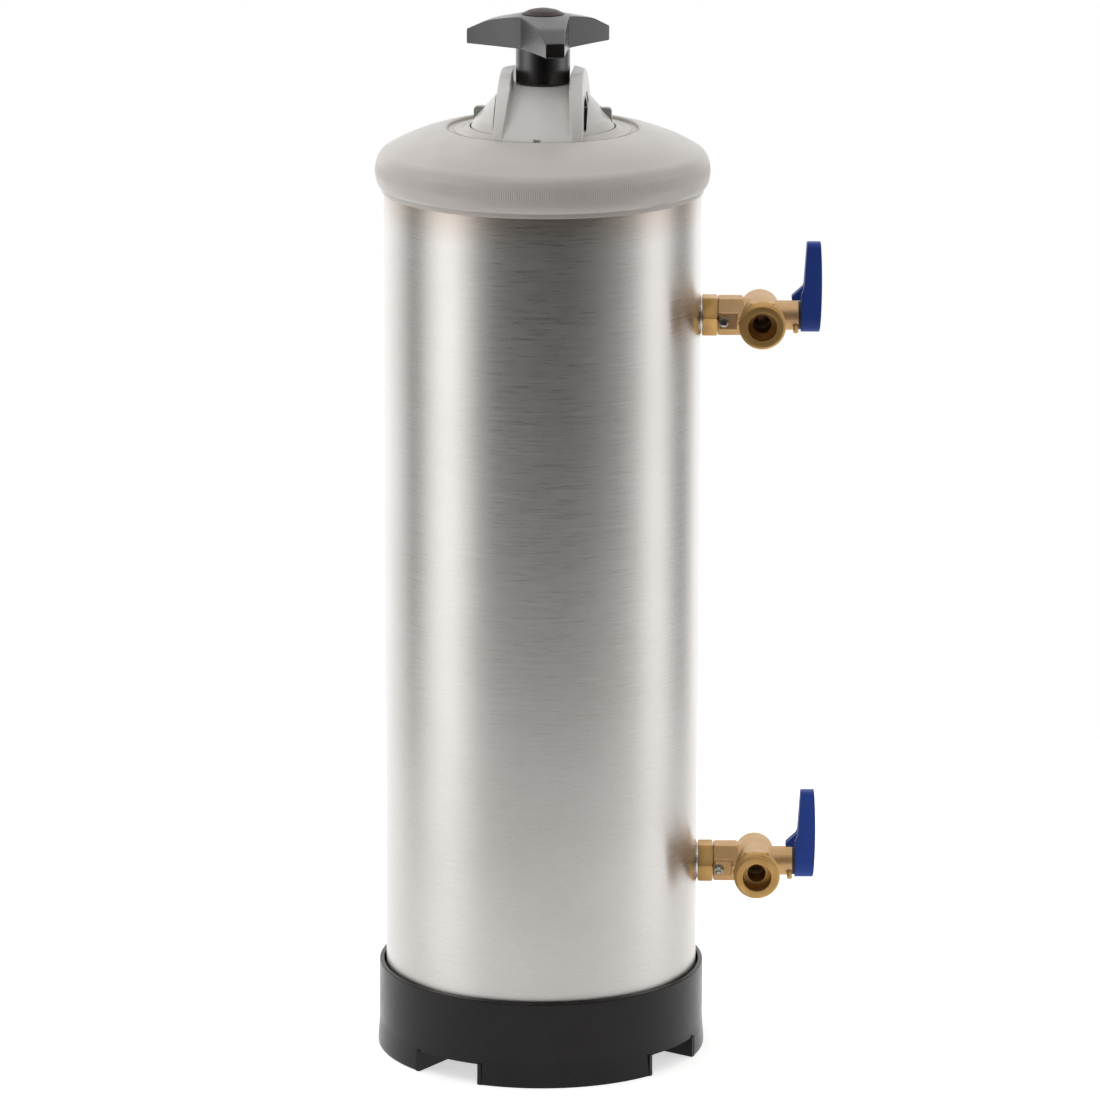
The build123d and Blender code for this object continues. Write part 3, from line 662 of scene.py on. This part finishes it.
def clamp_bridge():
    """Moulded bridge from the CAD shape with rounded edges and a mould nick at its front foot."""
    body = copy_of("bridge", "clamp_bridge")
    nick = move(block("nick", (-2.0, -56, 537), (2.0, -51.0, 540.4)), BRIDGE_TURN)
    cut(body, nick)
    soften(body, 0.45, 5, 0.4)
    return finish_piece(body, "bridge_plastic", "bridge", "bridge")


def lugs():
    """Cross bar with rounded ends."""
    bar = soften(copy_of("cross_bar", "cross_bar_moulded"), 0.3, 4, 0.4)
    return finish_piece(bar, "bar_plastic", "bridge", "cross_bar")


cone()
clamp_bridge()
lugs()


# ---------------------------------------------------------------- knob
def star_knob():
    """Three lobes that flow into each other, a domed back and a long stem."""
    low, high = millimetres("knob")
    tip = 44.5
    half_tip = 5.3
    root = 8.0
    half_root = 13.8
    outline = []
    for turn in range(3):
        heading = math.radians(LOBE_HEADING + 120 * turn)
        flank = []
        for step in range(25):
            radius = root + (tip - root) * step / 24
            fall = ((tip - radius) / (tip - root)) ** 1.15
            flank.append((radius, half_tip + (half_root - half_tip) * fall))
        for side, points in ((-1, flank), (1, flank[::-1])):
            for radius, half in points:
                x = radius * math.cos(heading) - side * half * math.sin(heading)
                y = radius * math.sin(heading) + side * half * math.cos(heading)
                outline.append((x, y))
    star = prism("star_knob", outline, 584.9, 605)
    crown = lathe("crown", rounded([
        (0, 585.0), (44.6, 585.0, 0.6), (44.6, 593.3, 0.6), (31.5, 599.4, 30), (12.6, high.z, 2),
        (0, high.z),
    ], 12))
    keep(star, crown)
    stem = lathe("stem", rounded([(0, low.z), (15.35, low.z, 0.5), (15.35, 590), (0, 590)]))
    add(star, stem)
    cut(star, lathe("recess", [(0, 602.4), (11.9, 602.4), (11.9, 606), (0, 606)]))
    recess = millimetres("thrust_washer")[1].z + 0.05
    cut(star, lathe("bore", [
        (0, 560), (12.6, 560), (12.6, recess), (10.6, recess), (10.6, 584), (6.6, 584), (6.6, 592), (0, 592),
    ]))
    soften(star, 0.42, 5, 0.45)
    return finish_piece(star, "knob_plastic", "knob", "knob")


def cap():
    """Domed cap with a rolled edge."""
    high = millimetres("knob_cap")[1]
    disc = lathe("cap", rounded([
        (0, 602.4), (11.7, 602.4, 0.3), (11.75, 603.9, 0.5), (8.0, 605.7, 6),
        (3.5, high.z - 0.15, 5), (0, high.z),
    ], 10), 128)
    return finish_piece(disc, "cap_plastic", "knob", "knob_cap")


star_knob()
cap()


# ---------------------------------------------------------------- taps, about their own axis


def tap_castings():
    """Every visible piece of one tap with its axis at height 0: name, slot, CAD node, mesh."""
    drop = Matrix.Translation((0, 0, -tap_height("inlet")))
    centre = Matrix.Translation((TAP_X, 0, 0))

    body = move(copy_of("inlet_tap_body", "tap_body"), drop)
    soften(body, 0.26, 6, 0.35)

    nut = hex_bar("union_nut", 21.5, 90.8, 99.4, 1.1)
    cut(nut, lathe("bore", [(0, 80), (10.45, 80), (10.45, 98), (8.3, 98), (8.3, 110), (0, 110)], 96))
    move(nut, TO_RIGHT)

    sleeve = thread("port_thread", 5.25, 13.2, THREAD_PITCH, 26.0, 35.5)
    face = lathe("face", rounded([
        (5.0, 34.6), (12.2, 34.6), (11.9, 36.0, 0.5), (8.2, 36.0, 0.4), (8.2, 35.2),
    ]), 144)
    add(sleeve, face)
    cut(sleeve, lathe("counterbore", [(0, 26.4), (7.9, 26.4), (8.2, 26.9), (8.2, 40), (0, 40)], 144))
    collar_hex = move(hex_bar("port_hex", 23.5, 22.0, 26.0, 1.0), Matrix.Rotation(math.radians(30), 4, "Z"))
    cut(collar_hex, lathe("bore", [(0, 10), (5.25, 10), (5.25, 40), (0, 40)], 96))
    spigot = lathe("spigot", [(5.25, 11.0), (8.2, 11.0), (8.2, 22.2), (5.25, 22.2)], 96)
    add(collar_hex, spigot)
    add(sleeve, collar_hex)
    move(sleeve, centre @ TO_FRONT)

    tail = lathe("drain_tail", rounded([
        (3.0, 13.0), (5.9, 13.0), (5.9, 20.0), (6.5, 20.0, 0.3), (6.5, 22.4, 0.3), (3.9, 22.6), (3.9, 25.5),
        (4.5, 25.7, 0.1), (3.9, 29.0), (4.5, 29.2, 0.1), (3.9, 32.5), (4.5, 32.7, 0.1), (3.6, 38.0, 0.3),
        (3.0, 38.0),
    ], 3), 96)
    move(tail, centre @ TO_BACK)

    lever = move(copy_of("inlet_lever", "lever_blade"), drop)
    soften(lever, 0.3, 5, 0.45)

    screw = lathe("cross_screw", rounded([
        (0, 9.2), (1.6, 9.2), (1.6, 12.6), (2.9, 12.6, 0.2), (2.9, 13.1, 0.5), (1.6, 13.6, 1.0), (0, 13.62),
    ]), 64)
    for size in ((2.1, 0.52), (0.52, 2.1)):
        cut(screw, block("cross", (-size[0], -size[1], 12.3), (size[0], size[1], 14)))
    move(screw, Matrix.Translation((102.9, 0, -1.8)) @ TO_FRONT @ Matrix.Rotation(math.radians(38), 4, "Z"))
    tidy_normals(screw)

    return [
        ("casting", "cast_brass", "tap_body", body),
        ("hex_nut", "turned_brass", "union_nut", nut),
        ("hose_port", "turned_brass", "port_nipple", sleeve),
        ("hose_tail", "turned_brass", "drain_tail", tail),
        ("blade", "lever_plastic", "lever", lever),
        ("cross_screw", "screw_steel", "set_screw", screw),
    ]


for name, slot, node, master in tap_castings():
    for tap in TAPS:
        piece = bpy.data.objects.new(f"{tap}_{name}", master.data.copy())
        bpy.context.scene.collection.objects.link(piece)
        move(piece, Matrix.Translation((0, 0, tap_height(tap))))
        full = f"{tap}_{node}"
        piece.visible_glossy = name != "blade"      # keeps the blue blades out of the steel's reflection
        finish_piece(piece, slot, BODY_OF[full], full)
    bpy.data.objects.remove(master)


# ---------------------------------------------------------------- stage, camera and lights


def floor():
    """Round pale floor that glows a little, as a lit paper table does."""
    disc = lathe("floor", [(0, 0), (FLOOR_RADIUS, 0), (FLOOR_RADIUS, -2), (0, -2)], 128)
    shader = Shader("floor_paper", Specular_IOR_Level=0.1, Emission_Strength=0.6)
    shader.surface.inputs["Emission Color"].default_value = (1, 1, 1, 1)
    shader.colour(shader.blend(shader.noise(3.0), srgb(214, 214, 213), srgb(220, 220, 219)))
    shader.roughness(shader.span(shader.noise(40.0), 0.7, 0.8))
    disc.data.materials.append(shader.material)


def camera():
    """Long lens, a little above the object and looking slightly down."""
    data = bpy.data.cameras.new("camera")
    data.sensor_width = 36
    data.lens = 207.17
    data.clip_end = 60
    thing = bpy.data.objects.new("camera", data)
    tilt = Matrix.Rotation(math.radians(90 - 13.4967), 4, "X")
    roll = Matrix.Rotation(0.00235, 4, "Z")
    thing.matrix_world = Matrix.Translation((0.00463, -3.5343, 1.14156)) @ tilt @ roll
    bpy.context.scene.collection.objects.link(thing)
    bpy.context.scene.camera = thing


def softbox(name, azimuth, distance, height, size, power):
    """Rectangular area light aimed at the object; azimuth is from the front towards the right."""
    data = bpy.data.lights.new(name, "AREA")
    data.shape = "RECTANGLE"
    data.size, data.size_y = size
    data.energy = power
    thing = bpy.data.objects.new(name, data)
    turn = math.radians(azimuth)
    place = Vector((distance * math.sin(turn), -distance * math.cos(turn), height))
    aim = Vector((0, 0, 0.3)) - place
    thing.matrix_world = Matrix.Translation(place) @ aim.to_track_quat("-Z", "Y").to_matrix().to_4x4()
    thing.visible_camera = False
    bpy.context.scene.collection.objects.link(thing)


def world():
    """Light tent: bright panels left, right and behind, a dark gap in front, a bright top."""
    studio = bpy.data.worlds.new("studio")
    studio.use_nodes = True
    tree = studio.node_tree

    nodes = Nodes(tree)
    parts = tree.nodes.new("ShaderNodeSeparateXYZ")
    tree.links.new(tree.nodes.new("ShaderNodeTexCoord").outputs["Generated"], parts.inputs[0])
    towards_camera = nodes.math("MULTIPLY", parts.outputs["Y"], -1.0)
    azimuth = nodes.math("ARCTAN2", parts.outputs["X"], towards_camera)
    share = nodes.math("ADD", nodes.math("DIVIDE", azimuth, 2 * math.pi), 0.5)
    panels = tree.nodes.new("ShaderNodeValToRGB")
    tree.links.new(share, panels.inputs[0])
    stops = panels.color_ramp.elements
    while len(stops) < len(AROUND):
        stops.new(0.5)
    peak = max(level for angle, level in AROUND)
    for stop, (angle, level) in zip(stops, AROUND):
        stop.position = angle / 360 + 0.5
        stop.color = (level / peak, level / peak, level / peak, 1)
    top = tree.nodes.new("ShaderNodeMapRange")
    top.interpolation_type = "SMOOTHSTEP"
    for socket, number in (("From Min", 0.5), ("From Max", 0.9), ("To Min", 0.0), ("To Max", 1.0)):
        top.inputs[socket].default_value = number
    tree.links.new(parts.outputs["Z"], top.inputs["Value"])

    level = nodes.math("MULTIPLY", panels.outputs["Color"], peak)
    lit = nodes.mix(top.outputs["Result"], level, OVERHEAD)
    path = tree.nodes.new("ShaderNodeLightPath")
    seen = nodes.mix(path.outputs["Is Camera Ray"], lit, 1.0)
    tree.links.new(seen, tree.nodes["Background"].inputs["Strength"])
    tree.nodes["Background"].inputs["Color"].default_value = (1, 1, 1, 1)
    bpy.context.scene.world = studio


floor()
camera()
world()
softbox("front_box", -25, 1.5, 3.0, (1.4, 1.0), 6)
bpy.context.scene.view_settings.view_transform = "Standard"
